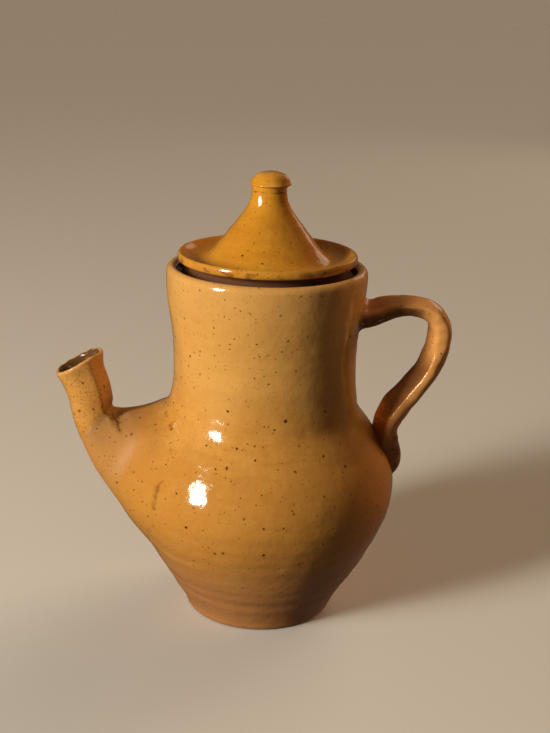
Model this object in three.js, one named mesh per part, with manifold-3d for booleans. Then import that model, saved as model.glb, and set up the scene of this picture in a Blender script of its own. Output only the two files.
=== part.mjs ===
// Ceramic teapot: a wheel-thrown body with a bent spout and a pulled strap handle, and a lid that lifts off.
// Millimetres, +Z up. The origin is the middle of the flat foot, the handle is at +X and the spout at -X.

import * as THREE from "three";
import { mergeVertices } from "three/addons/utils/BufferGeometryUtils.js";
import Module from "manifold-3d";

// Body, measured on its outside
const FOOT_RADIUS = 38.1;
const FOOT_EDGE = 1;
const BELLY_RADIUS = 67.8;
const BELLY_HEIGHT = 68.5;
const NECK_RADIUS = 45.2;
const NECK_HEIGHT = 124;
const RIM_RADIUS = 49.2;
const BODY_HEIGHT = 180.2;
const WALL = 4.5;
const FLOOR = 6;

// How far each curve of the profile runs on before it turns, and how much the foot leans out
const FOOT_FLARE = 2.8;
const FOOT_LEAD = 12;
const BELLY_LEAD = 23.5;
const SHOULDER_LEAD = 26;
const NECK_LEAD = 26;
const RIM_LEAD = 16;

// Lip, and the ledge inside it that carries the lid
const LIP_WIDTH = 5.8;
const LIP_ROUND = 3.5;
const LEDGE_DROP = 1.7;
const LEDGE_WIDTH = 3.7;
const LEDGE_HEIGHT = 3.5;
const LEDGE_SLOPE = 8;

// Spout: the middle of its mouth beyond and above the belly, its tube, and the pour hole behind it
const SPOUT_REACH = 26;
const SPOUT_RISE = 58.4;
const TUBE_RADIUS = 11;
const SPOUT_WALL = 4;
const SPOUT_LIP_WALL = 2.6;
const POUR_HOLE_RADIUS = 10.5;
const POUR_HOLE_RISE = 12;

// Handle: how far it stands out, where its top run and the end of its tail lie, and its strap, whose
// section is an ellipse at a squareness of 2
const HANDLE_REACH = 39;
const HANDLE_DROP = 18.2;
const TAIL_RISE = 3.6;
const STRAP_THICKNESS = 10;
const STRAP_WIDTH = 16;
const STRAP_SQUARENESS = 2.7;

// Flange and dish of the lid
const LID_PLAY = 1;
const LID_WALL = 4.5;
const FLANGE_OVERHANG = 0.4;
const FLANGE_LIFT = 2.2;
const FLANGE_EDGE = 4.5;
const FLANGE_NOSE = 1.2;
const FLANGE_CREST = 0.6;
const DISH_DEPTH = 4;
const DISH_SLOPE = 5;
const DISH_RISE = 0.3;

// Cone of the lid; each fillet takes a share of the straight side
const CONE_RADIUS = 28.5;
const CONE_SPREAD = 5;
const CONE_LIFT = 2.2;
const CONE_HEIGHT = 27.5;
const CONE_NECK_RADIUS = 8.4;
const CONE_NECK_LENGTH = 6;
const FOOT_FILLET_SHARE = 0.3;
const NECK_FILLET_SHARE = 0.25;
const HOLLOW_SHARE = 0.62;
const HOLLOW_DOME = 3;

// Skirt that keeps the lid in the mouth
const SKIRT_DEPTH = 10;
const SKIRT_WALL = 3;
const SKIRT_EDGE = 1;

// Knob
const KNOB_RADIUS = 9.7;
const KNOB_DOME_RADIUS = 9;
const KNOB_HEIGHT = 8.8;
const KNOB_NECK = 3;
const KNOB_EDGE = 1;

// Gap that stands for the slip between two luted parts, and for the lid's seat
const JOIN_GAP = 0.3;

// How far the bore's cutter runs past the spout's mouth, and the height above and below a point over
// which the lean of a wall is taken
const BORE_OVERRUN = 1;
const SLOPE_REACH = 2;

// Facets
const TURNS = 48;
const BELLY_STEPS = 9;
const SHOULDER_STEPS = 11;
const NECK_STEPS = 5;
const ROUND_STEPS = 8;
const FILLET_STEPS = 4;
const HOLE_SIDES = 24;
const SPOUT_SIDES = 28;
const SPOUT_STEPS = 22;
const LIP_STEPS = 4;
const HANDLE_SIDES = 16;
const HANDLE_STEPS = 40;

// Corners of a skin that lie nearer than this are one
const WELD = 1e-4;

const wasm = await Module();
wasm.setup();

const v2 = (x, y) => new THREE.Vector2(x, y);

// Solid of a closed geometry, for joining and cutting
function solidOf(geometry) {
  const plain = geometry.index ? geometry.toNonIndexed() : geometry.clone();
  const bare = new THREE.BufferGeometry();
  bare.setAttribute("position", plain.getAttribute("position"));
  const merged = mergeVertices(bare, WELD);
  return new wasm.Manifold(
    new wasm.Mesh({
      numProp: 3,
      vertProperties: merged.attributes.position.array,
      triVerts: new Uint32Array(merged.index.array),
    }),
  );
}

function geometryOf(solid) {
  const mesh = solid.getMesh();
  const geometry = new THREE.BufferGeometry();
  geometry.setAttribute("position", new THREE.BufferAttribute(mesh.vertProperties, 3));
  geometry.setIndex(new THREE.BufferAttribute(mesh.triVerts, 1));
  const faceted = geometry.toNonIndexed();
  faceted.computeVertexNormals();
  return faceted;
}

// Profile of (radius, height) points turned about the Z axis
function turned(profile) {
  return new THREE.LatheGeometry(profile, TURNS).rotateX(Math.PI / 2);
}

// Closed skin over a row of rings that have equal counts of points
function skin(rings) {
  const sides = rings[0].length;
  const corners = [];
  const triangle = (a, b, c) => corners.push(...a, ...b, ...c);
  for (let i = 0; i + 1 < rings.length; i++) {
    for (let j = 0; j < sides; j++) {
      const k = (j + 1) % sides;
      triangle(rings[i][j], rings[i][k], rings[i + 1][k]);
      triangle(rings[i][j], rings[i + 1][k], rings[i + 1][j]);
    }
  }
  const first = rings[0];
  const last = rings[rings.length - 1];
  for (let j = 1; j + 1 < sides; j++) {
    triangle(first[0], first[j + 1], first[j]);
    triangle(last[0], last[j], last[j + 1]);
  }
  const geometry = new THREE.BufferGeometry();
  geometry.setAttribute("position", new THREE.Float32BufferAttribute(corners, 3));
  return geometry;
}

// Smooth run of rows through a few chosen ones; each column is interpolated by itself
function smoothRows(rows, steps) {
  const runs = rows[0].map((_, column) => {
    const points = rows.map((row, i) => v2(i, row[column]));
    return new THREE.SplineCurve(points);
  });
  return Array.from({ length: steps + 1 }, (_, i) => runs.map((run) => run.getPoint(i / steps).y));
}

function cubic(points, steps) {
  const [a, b, c, d] = points;
  return new THREE.CubicBezierCurve(a, b, c, d).getPoints(steps);
}

function quadratic(points, steps) {
  const [a, b, c] = points;
  return new THREE.QuadraticBezierCurve(a, b, c).getPoints(steps);
}

// Points of an elliptical arc, angles in degrees from the outward direction
function arc(x, y, halfWidth, halfHeight, from, to, steps) {
  return Array.from({ length: steps + 1 }, (_, i) => {
    const angle = THREE.MathUtils.degToRad(from + ((to - from) * i) / steps);
    return v2(x + halfWidth * Math.cos(angle), y + halfHeight * Math.sin(angle));
  });
}

// Body's outer profile from the foot to the widest point of the lip
const lipHeight = BODY_HEIGHT - LIP_ROUND;
const lipInnerRadius = RIM_RADIUS - LIP_WIDTH;
const ledgeHeight = lipHeight - LEDGE_DROP;
const mouthRadius = lipInnerRadius - LEDGE_WIDTH;

const bodyProfile = [
  ...cubic(
    [
      v2(FOOT_RADIUS, 0),
      v2(FOOT_RADIUS + FOOT_FLARE, FOOT_LEAD),
      v2(BELLY_RADIUS, BELLY_HEIGHT - BELLY_LEAD),
      v2(BELLY_RADIUS, BELLY_HEIGHT),
    ],
    BELLY_STEPS,
  ),
  ...cubic(
    [
      v2(BELLY_RADIUS, BELLY_HEIGHT),
      v2(BELLY_RADIUS, BELLY_HEIGHT + SHOULDER_LEAD),
      v2(NECK_RADIUS, NECK_HEIGHT - NECK_LEAD),
      v2(NECK_RADIUS, NECK_HEIGHT),
    ],
    SHOULDER_STEPS,
  ).slice(1),
  ...cubic(
    [
      v2(NECK_RADIUS, NECK_HEIGHT),
      v2(NECK_RADIUS, NECK_HEIGHT + NECK_LEAD),
      v2(RIM_RADIUS, lipHeight - RIM_LEAD),
      v2(RIM_RADIUS, lipHeight),
    ],
    NECK_STEPS,
  ).slice(1),
];

// Outer radius at a height, and the share that a wall gains where the profile leans
function outerRadius(height) {
  const above = bodyProfile.findIndex((p) => p.y >= height);
  if (above < 0) return RIM_RADIUS;
  if (above === 0) return FOOT_RADIUS;
  const low = bodyProfile[above - 1];
  const high = bodyProfile[above];
  return THREE.MathUtils.mapLinear(height, low.y, high.y, low.x, high.x);
}

function leanShare(height) {
  const gain = outerRadius(height + SLOPE_REACH) - outerRadius(height - SLOPE_REACH);
  return Math.hypot(1, gain / (2 * SLOPE_REACH));
}

const innerRadius = (height) => outerRadius(height) - WALL * leanShare(height);

// Solid of the whole body's outside, grown by a gap, that trims what is luted onto it
function bodyTrimmer() {
  const grown = bodyProfile.map((p) => v2(p.x + JOIN_GAP * leanShare(p.y), p.y));
  const profile = [v2(0, -JOIN_GAP), v2(grown[0].x, -JOIN_GAP), ...grown];
  return solidOf(turned([...profile, v2(RIM_RADIUS, BODY_HEIGHT), v2(0, BODY_HEIGHT)]));
}

function potBody() {
  const ledgeFoot = ledgeHeight - LEDGE_HEIGHT - LEDGE_SLOPE;
  const floorCorner = FLOOR + WALL;
  const inside = bodyProfile
    .map((p) => p.y)
    .filter((height, i) => i % 2 === 0 && height > floorCorner && height < ledgeFoot)
    .reverse()
    .map((height) => v2(innerRadius(height), height));
  const lip = arc(RIM_RADIUS - LIP_WIDTH / 2, lipHeight, LIP_WIDTH / 2, LIP_ROUND, 0, 180, ROUND_STEPS);
  const profile = [
    v2(0, 0),
    v2(FOOT_RADIUS - FOOT_EDGE, 0),
    v2(outerRadius(FOOT_EDGE), FOOT_EDGE),
    ...bodyProfile.filter((p) => p.y > FOOT_EDGE),
    ...lip.slice(1),
    v2(lipInnerRadius, ledgeHeight),
    v2(mouthRadius, ledgeHeight),
    v2(mouthRadius, ledgeHeight - LEDGE_HEIGHT),
    v2(innerRadius(ledgeFoot), ledgeFoot),
    ...inside,
    ...quadratic(
      [
        v2(innerRadius(floorCorner), floorCorner),
        v2(innerRadius(FLOOR), FLOOR),
        v2(innerRadius(FLOOR) - WALL, FLOOR),
      ],
      FILLET_STEPS,
    ),
    v2(0, FLOOR),
  ];
  const hole = new THREE.CylinderGeometry(POUR_HOLE_RADIUS, POUR_HOLE_RADIUS, BELLY_RADIUS, HOLE_SIDES)
    .rotateZ(Math.PI / 2)
    .translate(-BELLY_RADIUS, 0, BELLY_HEIGHT + POUR_HOLE_RISE);
  return geometryOf(solidOf(turned(profile)).subtract(solidOf(hole)));
}

// Spout stations from the end that lies inside the body to the mouth. Each has its centre's place on the
// way out and on the way up as shares of the mouth's, its half height and half width across the flow in
// radii of the tube, and its lean from the vertical in degrees.
const SPOUT_STATIONS = [
  [-1.308, 0.086, 2.591, 3, 78],
  [-0.769, 0.134, 3.145, 4, 75],
  [-0.435, 0.17, 2.764, 3.5, 73],
  [-0.185, 0.205, 2.309, 2.864, 71],
  [0.092, 0.255, 1.882, 2.2, 67],
  [0.365, 0.33, 1.482, 1.655, 60],
  [0.581, 0.421, 1.164, 1.236, 50],
  [0.665, 0.491, 1.036, 1.045, 39],
  [0.727, 0.599, 1.009, 1, 19],
  [0.792, 0.757, 1.018, 1.018, 18],
  [0.9, 0.894, 1.045, 1.045, 19],
  [1, 1, 1.118, 1.136, 29],
];

function spoutRing(row, thinning) {
  const [out, height, halfHeight, halfWidth, lean] = row;
  return Array.from({ length: SPOUT_SIDES }, (_, i) => {
    const turn = (2 * Math.PI * i) / SPOUT_SIDES;
    const across = (halfHeight - thinning) * Math.cos(turn);
    return [
      -out + across * Math.cos(lean),
      (halfWidth - thinning) * Math.sin(turn),
      height + across * Math.sin(lean),
    ];
  });
}

function spout() {
  const rows = smoothRows(SPOUT_STATIONS, SPOUT_STEPS).map(([out, rise, halfHeight, halfWidth, lean]) => [
    BELLY_RADIUS + SPOUT_REACH * out,
    BELLY_HEIGHT + SPOUT_RISE * rise,
    TUBE_RADIUS * halfHeight,
    TUBE_RADIUS * halfWidth,
    THREE.MathUtils.degToRad(lean),
  ]);
  const outside = skin(rows.map((row) => spoutRing(row, 0)));
  const bore = rows.map((row, i) => {
    const nearMouth = Math.max(0, 1 - (SPOUT_STEPS - i) / LIP_STEPS);
    return spoutRing(row, THREE.MathUtils.lerp(SPOUT_WALL, SPOUT_LIP_WALL, nearMouth));
  });
  const [out, height, halfHeight, halfWidth, lean] = rows[SPOUT_STEPS];
  const beyond = [
    out + BORE_OVERRUN * Math.sin(lean),
    height + BORE_OVERRUN * Math.cos(lean),
    halfHeight,
    halfWidth,
    lean,
  ];
  const tube = solidOf(outside).subtract(solidOf(skin([...bore, spoutRing(beyond, SPOUT_LIP_WALL)])));
  return geometryOf(tube.subtract(bodyTrimmer()));
}

// Handle stations from the neck round to the pressed tail. Each has its height as a share of the way from
// the tail's end to the top run, and as shares of the handle's own sizes its distance out from the wall at
// that height, the strap's thickness in the plane of the loop and its width across it.
const handleTop = BODY_HEIGHT - HANDLE_DROP;
const tailEnd = BELLY_HEIGHT + TAIL_RISE;
const HANDLE_STATIONS = [
  [0.948, -0.128, 1.3, 1.375],
  [0.949, 0.013, 1.29, 1.281],
  [0.962, 0.154, 1.31, 1.125],
  [0.987, 0.321, 1.22, 1],
  [1, 0.508, 1.06, 0.938],
  [0.994, 0.692, 0.99, 0.938],
  [0.953, 0.864, 1, 0.969],
  [0.881, 0.982, 1.08, 1],
  [0.79, 1, 1.18, 1.031],
  [0.7, 0.959, 1.27, 1.062],
  [0.607, 0.887, 1.25, 1.094],
  [0.495, 0.682, 1.32, 1.125],
  [0.389, 0.426, 1.37, 1.156],
  [0.289, 0.19, 1.24, 1.219],
  [0.195, 0.018, 1.6, 1.281],
  [0.122, -0.013, 1.46, 1.188],
  [0.044, -0.067, 1.06, 0.938],
  [0, -0.072, 0.56, 0.562],
];

function handle() {
  const rows = smoothRows(HANDLE_STATIONS, HANDLE_STEPS).map(([share, out, thickness, width]) => {
    const height = THREE.MathUtils.lerp(tailEnd, handleTop, share);
    const x = outerRadius(height) + HANDLE_REACH * out;
    return [x, height, STRAP_THICKNESS * thickness, STRAP_WIDTH * width];
  });
  const rings = rows.map(([x, z, thickness, width], i) => {
    const before = rows[Math.max(i - 1, 0)];
    const after = rows[Math.min(i + 1, rows.length - 1)];
    const along = v2(after[0] - before[0], after[1] - before[1]).normalize();
    return Array.from({ length: HANDLE_SIDES }, (_, j) => {
      const turn = (2 * Math.PI * j) / HANDLE_SIDES;
      const square = (value) => Math.sign(value) * Math.abs(value) ** (2 / STRAP_SQUARENESS);
      const inward = (thickness / 2) * square(Math.cos(turn));
      return [x + along.y * inward, (width / 2) * square(Math.sin(turn)), z - along.x * inward];
    });
  });
  return geometryOf(solidOf(skin(rings)).subtract(bodyTrimmer()));
}

// Lid, from its seat upwards
const seatHeight = ledgeHeight + JOIN_GAP;
const flangeRadius = lipInnerRadius + FLANGE_OVERHANG;
const flangeBottom = BODY_HEIGHT + FLANGE_LIFT;
const flangeTop = flangeBottom + FLANGE_EDGE;
const dishFloor = flangeTop - DISH_DEPTH;
const dishRadius = CONE_RADIUS + CONE_SPREAD;
const coneTop = dishFloor + CONE_HEIGHT;
const lidTop = coneTop + CONE_NECK_LENGTH;

function lid() {
  const footRadius = lipInnerRadius - LID_PLAY;
  const skirtRadius = mouthRadius - LID_PLAY;
  const skirtBottom = ledgeHeight - SKIRT_DEPTH;
  const skirtInside = skirtRadius - SKIRT_WALL;
  const ceiling = dishFloor - LID_WALL;
  const halfEdge = FLANGE_EDGE / 2;
  const coneFoot = dishFloor + CONE_LIFT;
  const side = v2(CONE_NECK_RADIUS - CONE_RADIUS, coneTop - coneFoot);
  const onSide = (share) => v2(CONE_RADIUS + side.x * share, coneFoot + side.y * share);
  const wallAcross = (LID_WALL * side.length()) / side.y;
  const hollowTop = onSide(HOLLOW_SHARE);
  const hollowFoot = onSide(FOOT_FILLET_SHARE);
  const dishEdge = v2(dishRadius, dishFloor + DISH_RISE);
  const profile = [
    ...quadratic(
      [
        v2(0, hollowTop.y + HOLLOW_DOME),
        v2((hollowTop.x - wallAcross) / 2, hollowTop.y + HOLLOW_DOME),
        v2(hollowTop.x - wallAcross, hollowTop.y),
      ],
      FILLET_STEPS,
    ),
    v2(hollowFoot.x - wallAcross, hollowFoot.y),
    v2(CONE_RADIUS - wallAcross, ceiling + DISH_RISE),
    v2(skirtInside, ceiling),
    v2(skirtInside, skirtBottom + SKIRT_EDGE),
    v2(skirtInside + SKIRT_EDGE, skirtBottom),
    v2(skirtRadius - SKIRT_EDGE, skirtBottom),
    v2(skirtRadius, skirtBottom + SKIRT_EDGE),
    v2(skirtRadius, seatHeight),
    v2(footRadius, seatHeight),
    v2(footRadius, BODY_HEIGHT),
    ...arc(flangeRadius - FLANGE_NOSE, flangeBottom + halfEdge, FLANGE_NOSE, halfEdge, -90, 90, ROUND_STEPS),
    ...cubic(
      [
        v2(flangeRadius - FLANGE_NOSE - FLANGE_CREST, flangeTop),
        v2(flangeRadius - DISH_SLOPE, dishFloor),
        v2(dishRadius + DISH_SLOPE, dishFloor),
        dishEdge,
      ],
      FILLET_STEPS,
    ),
    ...quadratic([dishEdge, onSide(0), onSide(FOOT_FILLET_SHARE)], FILLET_STEPS).slice(1),
    ...quadratic([onSide(1 - NECK_FILLET_SHARE), onSide(1), v2(CONE_NECK_RADIUS, lidTop)], FILLET_STEPS),
    v2(0, lidTop),
  ];
  return turned(profile);
}

function lidKnob() {
  const bottom = lidTop + JOIN_GAP;
  const rim = bottom + KNOB_NECK;
  const profile = [
    v2(0, bottom),
    v2(CONE_NECK_RADIUS, bottom),
    v2(CONE_NECK_RADIUS, rim - KNOB_EDGE),
    v2(KNOB_RADIUS, rim - KNOB_EDGE / 2),
    v2(KNOB_RADIUS, rim),
    ...arc(0, rim, KNOB_DOME_RADIUS, KNOB_HEIGHT - KNOB_NECK, 0, 90, ROUND_STEPS),
  ];
  return turned(profile);
}

const honeyGlaze = new THREE.MeshStandardMaterial({ color: 0xc48a45, roughness: 0.22, metalness: 0 });
const ochreGlaze = new THREE.MeshStandardMaterial({ color: 0xc07a22, roughness: 0.2, metalness: 0 });
const brownGlaze = new THREE.MeshStandardMaterial({ color: 0xa86432, roughness: 0.24, metalness: 0 });

function piece(name, geometry, material) {
  const mesh = new THREE.Mesh(geometry, material);
  mesh.name = name;
  return mesh;
}

const teapot = new THREE.Group();
teapot.add(piece("pot_body", potBody(), honeyGlaze));
teapot.add(piece("spout", spout(), honeyGlaze));
teapot.add(piece("handle", handle(), brownGlaze));
const lidGroup = new THREE.Group();
lidGroup.add(piece("lid", lid(), ochreGlaze));
lidGroup.add(piece("lid_knob", lidKnob(), ochreGlaze));
teapot.add(lidGroup);

export default teapot;
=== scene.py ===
import math
from functools import partial

import bmesh
import bpy
from mathutils import Matrix, Vector, kdtree, noise


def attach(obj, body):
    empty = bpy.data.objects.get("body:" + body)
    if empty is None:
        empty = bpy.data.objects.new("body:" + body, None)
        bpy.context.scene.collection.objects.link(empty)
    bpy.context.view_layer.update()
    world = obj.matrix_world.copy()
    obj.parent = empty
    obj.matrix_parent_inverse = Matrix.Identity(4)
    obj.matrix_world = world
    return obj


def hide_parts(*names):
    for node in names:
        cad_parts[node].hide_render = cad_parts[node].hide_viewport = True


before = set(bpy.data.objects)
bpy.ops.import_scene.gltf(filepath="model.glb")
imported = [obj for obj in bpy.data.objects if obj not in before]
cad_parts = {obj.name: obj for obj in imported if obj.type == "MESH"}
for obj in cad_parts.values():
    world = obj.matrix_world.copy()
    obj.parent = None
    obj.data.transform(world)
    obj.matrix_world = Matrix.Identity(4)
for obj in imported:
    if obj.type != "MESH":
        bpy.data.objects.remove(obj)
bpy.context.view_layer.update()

# Lengths below are millimetres; a mesh is laid out in metres
MM = 0.001

# Camera, as it stood before the pot, in metres and degrees
LENS = 54.02
SENSOR_WIDTH = 36
CAMERA_PLACE = (0.0053, -0.525, 0.2993)
CAMERA_TILT = 71.94
CAMERA_ROLL = 1.8

camera_data = bpy.data.cameras.new("camera")
camera_data.lens = LENS
camera_data.sensor_width = SENSOR_WIDTH
camera_data.dof.use_dof = False
camera = bpy.data.objects.new("camera", camera_data)
bpy.context.scene.collection.objects.link(camera)
camera.matrix_world = (
    Matrix.Translation(CAMERA_PLACE)
    @ Matrix.Rotation(math.radians(CAMERA_TILT), 4, "X")
    @ Matrix.Rotation(math.radians(CAMERA_ROLL), 4, "Z")
)
bpy.context.scene.camera = camera

# Thrown body
FOOT_RADIUS = 38.1
BELLY_RADIUS = 67.8
BELLY_HEIGHT = 68.5
NECK_RADIUS = 45.2
NECK_HEIGHT = 124
RIM_RADIUS = 49.2
BODY_HEIGHT = 180.2
LIP_WIDTH = 5.8
LIP_ROUND = 3.5
LIP_HEIGHT = BODY_HEIGHT - LIP_ROUND
LIP_INSIDE = RIM_RADIUS - LIP_WIDTH
WALL = 4.5
FLOOR = 6
LEDGE_HEIGHT = 175
LEDGE_EDGE = 2.4
LEDGE_ROOT = 169
MOUTH_RADIUS = 39.7

# Spacing of the profile's points up the outside and the inside, and the flat bottom's middle ring
OUTSIDE_STEP = 1.35
INSIDE_STEP = 2.6
BOTTOM_RING = 20

# How far the outline keeps its way at its turning points
FOOT_FLARE = 2.8
FOOT_REACH = 12
BELLY_REACH = 23.5
SHOULDER_REACH = 26
RIM_REACH = 16

# Throwing marks: pitch of the fine rings, climb of the slow one in a turn, and the broad ring at the neck
THROWING_PITCH = 4.1
WHEEL_CLIMB = 3.4
NECK_RING_HEIGHT = 106.3
NECK_RING_PITCH = 16.3

# Pour hole, bored along X through the wall behind the horn
POUR_HOLE_RADIUS = 10.5
POUR_HOLE_HEIGHT = 80.5
DRILL_MIDDLE = 66
DRILL_LENGTH = 40

# How deep a limb's hidden end lies in the wall
ROOT_DEPTH = 2.4

# Spout stations from inside the body to the mouth: middle's way out beyond the belly and up above the
# belly's middle, half height and half width across the flow, lean from the vertical in degrees
SPOUT_STATIONS = [
    (-34, 5, 28.5, 33, 78),
    (-20, 7.8, 34.6, 44, 75),
    (-11.3, 9.9, 30.4, 38.5, 73),
    (-4.8, 12, 25.4, 31.5, 71),
    (2.4, 14.9, 20.7, 24.2, 67),
    (9.5, 19.3, 16.3, 18.2, 60),
    (15.1, 24.6, 12.8, 13.6, 50),
    (17.3, 28.7, 11.4, 11.5, 39),
    (18.9, 35, 11.1, 11, 19),
    (20.6, 44.2, 11.2, 11.2, 18),
    (23.4, 52.2, 11.5, 11.5, 19),
    (26, 58.4, 12.3, 12.5, 29),
]
SPOUT_LAST = len(SPOUT_STATIONS) - 1
SPOUT_SIDES = 112
SPOUT_SKIN_RINGS = 75
SPOUT_BORE_RINGS = 40
SPOUT_LIP_STEPS = 10

# Fold where the tube was luted onto the horn, down from the inner bend on both sides: x, y, z and depth
FOLD = [
    (-69.6, -13, 92.6, 0.6),
    (-71, -12.2, 95.6, 2.4),
    (-72.6, -11, 98.6, 3.4),
    (-74.3, -8, 102.4, 3.4),
    (-75.6, -3, 104.6, 2.4),
    (-75.6, 3, 104.6, 1.6),
    (-73.9, 8, 102, 0),
]
FOLD_WIDTH = 3.4
FOLD_REACH = 8

# Handle stations from the neck to the tail: share of the height between the tail's end and the top run,
# way out from the wall, thickness in the loop's plane, width across it, how far the face turned to the
# spout's right is pared away on the inner side, or where negative on the outer side
HANDLE_FOOT = 72.1
HANDLE_TOP = 162
HANDLE_STATIONS = [
    (0.941, -5, 14, 22, -0.5),
    (0.943, 0.5, 13.6, 20.5, -0.6),
    (0.96, 6, 12.6, 18, -0.65),
    (0.987, 12.5, 11.2, 16, -0.65),
    (1, 19.8, 9.7, 15, -0.55),
    (0.996, 27.4, 9.2, 15, -0.3),
    (0.96, 34.9, 9.9, 15.5, 0),
    (0.884, 39.6, 11.3, 16, 0.15),
    (0.79, 40.1, 12.3, 16.5, 0.3),
    (0.7, 38.3, 12.5, 17, 0.5),
    (0.607, 34.4, 12.3, 17.3, 0.7),
    (0.495, 26.1, 13, 17.5, 0.8),
    (0.389, 15.9, 13.8, 18, 0.8),
    (0.289, 6.8, 12.8, 19, 0.6),
    (0.195, 0.7, 15.2, 20, 0.3),
    (0.122, -0.5, 14, 19, 0.1),
    (0.044, -2.6, 10.6, 15, 0),
    (0, -2.8, 5.6, 9, 0),
]
HANDLE_LAST = len(HANDLE_STATIONS) - 1
HANDLE_SIDES = 72
HANDLE_RINGS = 150
HANDLE_ROOT_END = 5
# fine rows for each station, and how often they are evened out
HANDLE_FINE = 12
HANDLE_PASSES = 26

# Lid
SKIRT_RADIUS = 38.7
SKIRT_INNER = 35.7
SKIRT_EDGE = 166.2
SEAT_RADIUS = 42
SEAT_HEIGHT = 175.3
COLLAR_RADIUS = 37.9
FLANGE_RADIUS = 42.4
FLANGE_HEIGHT = 184.7
FLANGE_BOTTOM = 182.4
HOLLOW_TOP = 203.8
CONE_FOOT = (28.5, 185.1)
CONE_RUN = (-20.1, 25.3)
CONE_SHARES = (0.3, 0.36, 0.42, 0.48, 0.54, 0.6, 0.66, 0.7, 0.75)
CONE_TOP_RADIUS = 8.4
CONE_TOP = 210.4
LID_TOP = 216.5

# Cap on the lid: its underside lies in the cone's top
CAP_BOTTOM = 216.2
CAP_TOP = 225.5
CAP_NECK = 8.5
CAP_ASKEW = 0.8


def mix(a, b, share):
    return a + (b - a) * share


def smooth(value, low, high):
    share = min(max((value - low) / (high - low), 0), 1)
    return share * share * (3 - 2 * share)


def band(value, rise, fall):
    """Goes from 0 to 1 over rise and back to 0 over fall; each is a pair of values."""
    return smooth(value, *rise) * (1 - smooth(value, *fall))


def hump(value, middle, width):
    """A soft hump, 1 high."""
    return math.exp(-(((value - middle) / width) ** 2))


def wobble(turn, height, around, spacing, seed):
    """Noise on a round wall: around is how much it changes in a turn, spacing how tall its lumps are."""
    return noise.noise(Vector((around * math.cos(turn), around * math.sin(turn), height / spacing + seed)))


def curve(points, steps):
    """Points of a cubic curve through its first and last corner."""
    out = []
    for i in range(steps + 1):
        t = i / steps
        u = 1 - t
        share = (u**3, 3 * u * u * t, 3 * u * t * t, t**3)
        out.append(tuple(sum(s * p[k] for s, p in zip(share, points)) for k in range(len(points[0]))))
    return out


def bow(a, b, c, steps):
    """Points of a curve from a to c that leans towards b."""
    leaving = tuple(mix(p, q, 2 / 3) for p, q in zip(a, b))
    arriving = tuple(mix(p, q, 2 / 3) for p, q in zip(c, b))
    return curve([a, leaving, arriving, c], steps)


def arc(x, y, half_width, half_height, start, end, steps):
    """Points of an ellipse between two angles in degrees."""
    turns = [math.radians(mix(start, end, i / steps)) for i in range(steps + 1)]
    return [(x + half_width * math.cos(a), y + half_height * math.sin(a)) for a in turns]


def row_at(stations, place):
    """Row of a smooth run through the stations; place counts stations from 0."""
    last = len(stations) - 1
    place = min(max(place, 0), last)
    i = min(int(place), last - 1)
    t = place - i
    p0, p1, p2, p3 = (stations[min(max(k, 0), last)] for k in (i - 1, i, i + 1, i + 2))
    row = []
    for a, b, c, d in zip(p0, p1, p2, p3):
        v0, v1 = (c - a) / 2, (d - b) / 2
        row.append((2 * b - 2 * c + v0 + v1) * t**3 + (-3 * b + 3 * c - 2 * v0 - v1) * t * t + v0 * t + b)
    return row


# The wall that everything sits on
def body_outline():
    """The body's plain outside as (radius, height) points from the foot to the lip."""
    foot = (FOOT_RADIUS, 0)
    belly = (BELLY_RADIUS, BELLY_HEIGHT)
    neck = (NECK_RADIUS, NECK_HEIGHT)
    rim = (RIM_RADIUS, LIP_HEIGHT)
    line = [foot]
    for corners in (
        (foot, (FOOT_RADIUS + FOOT_FLARE, FOOT_REACH), (BELLY_RADIUS, BELLY_HEIGHT - BELLY_REACH), belly),
        (
            belly,
            (BELLY_RADIUS, BELLY_HEIGHT + SHOULDER_REACH),
            (NECK_RADIUS, NECK_HEIGHT - SHOULDER_REACH),
            neck,
        ),
        (neck, (NECK_RADIUS, NECK_HEIGHT + SHOULDER_REACH), (RIM_RADIUS, LIP_HEIGHT - RIM_REACH), rim),
    ):
        line += curve(corners, 60)[1:]
    return line


body_line = body_outline()


def outline_radius(height):
    if height <= 0:
        return FOOT_RADIUS
    for low, high in zip(body_line, body_line[1:]):
        if height <= high[1]:
            return mix(low[0], high[0], (height - low[1]) / (high[1] - low[1]))
    return RIM_RADIUS


# the outline is read once, at even heights
READINGS = 4
READ_HEIGHT = 185
radius_table = [outline_radius(i / READINGS) for i in range(READINGS * READ_HEIGHT + 2)]


def plain_radius(height):
    """Radius of the wall before it wavers."""
    place = min(max(height, 0), READ_HEIGHT) * READINGS
    i = int(place)
    return mix(radius_table[i], radius_table[i + 1], place - i)


def waver(turn, height):
    """How far the hand-thrown wall stands off its plain curve."""
    right = math.cos(turn)
    lumps = 0.75 * wobble(turn, height, 1.2, 48, 7)
    fingers = 0.22 * wobble(turn, height, 3.2, 13, 31)
    # throwing rings, clearest between foot and belly
    ring_size = 0.1 + 0.38 * band(height, (6, 16), (38, 74)) + 0.04 * band(height, (84, 98), (128, 140))
    rings = ring_size * wobble(turn, height, 0.5, THROWING_PITCH, 53 + 0.12 * math.sin(turn))
    climb = height + WHEEL_CLIMB * turn / math.tau
    slow = 0.3 * wobble(turn, climb, 0.4, 17, 3)
    # a broad ring where the shoulder turns into the neck, faint over the spout
    broad = -0.36 * math.cos(math.tau * (height - NECK_RING_HEIGHT - 1.5 * right) / NECK_RING_PITCH)
    broad *= band(height, (86, 96), (109, 124)) * (1 + 0.5 * wobble(turn, 0, 1, 1, 17))
    broad += 0.8 * band(height, (108, 121), (124, 148))
    broad *= 1 - 0.85 * smooth(-right, 0.7, 0.92)
    return (lumps + fingers + rings + slow + broad) * smooth(height, 0.4, 6)


def turn_of(p):
    return math.atan2(p.y, p.x)


def radius_of(p):
    return math.hypot(p.x, p.y)


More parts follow.
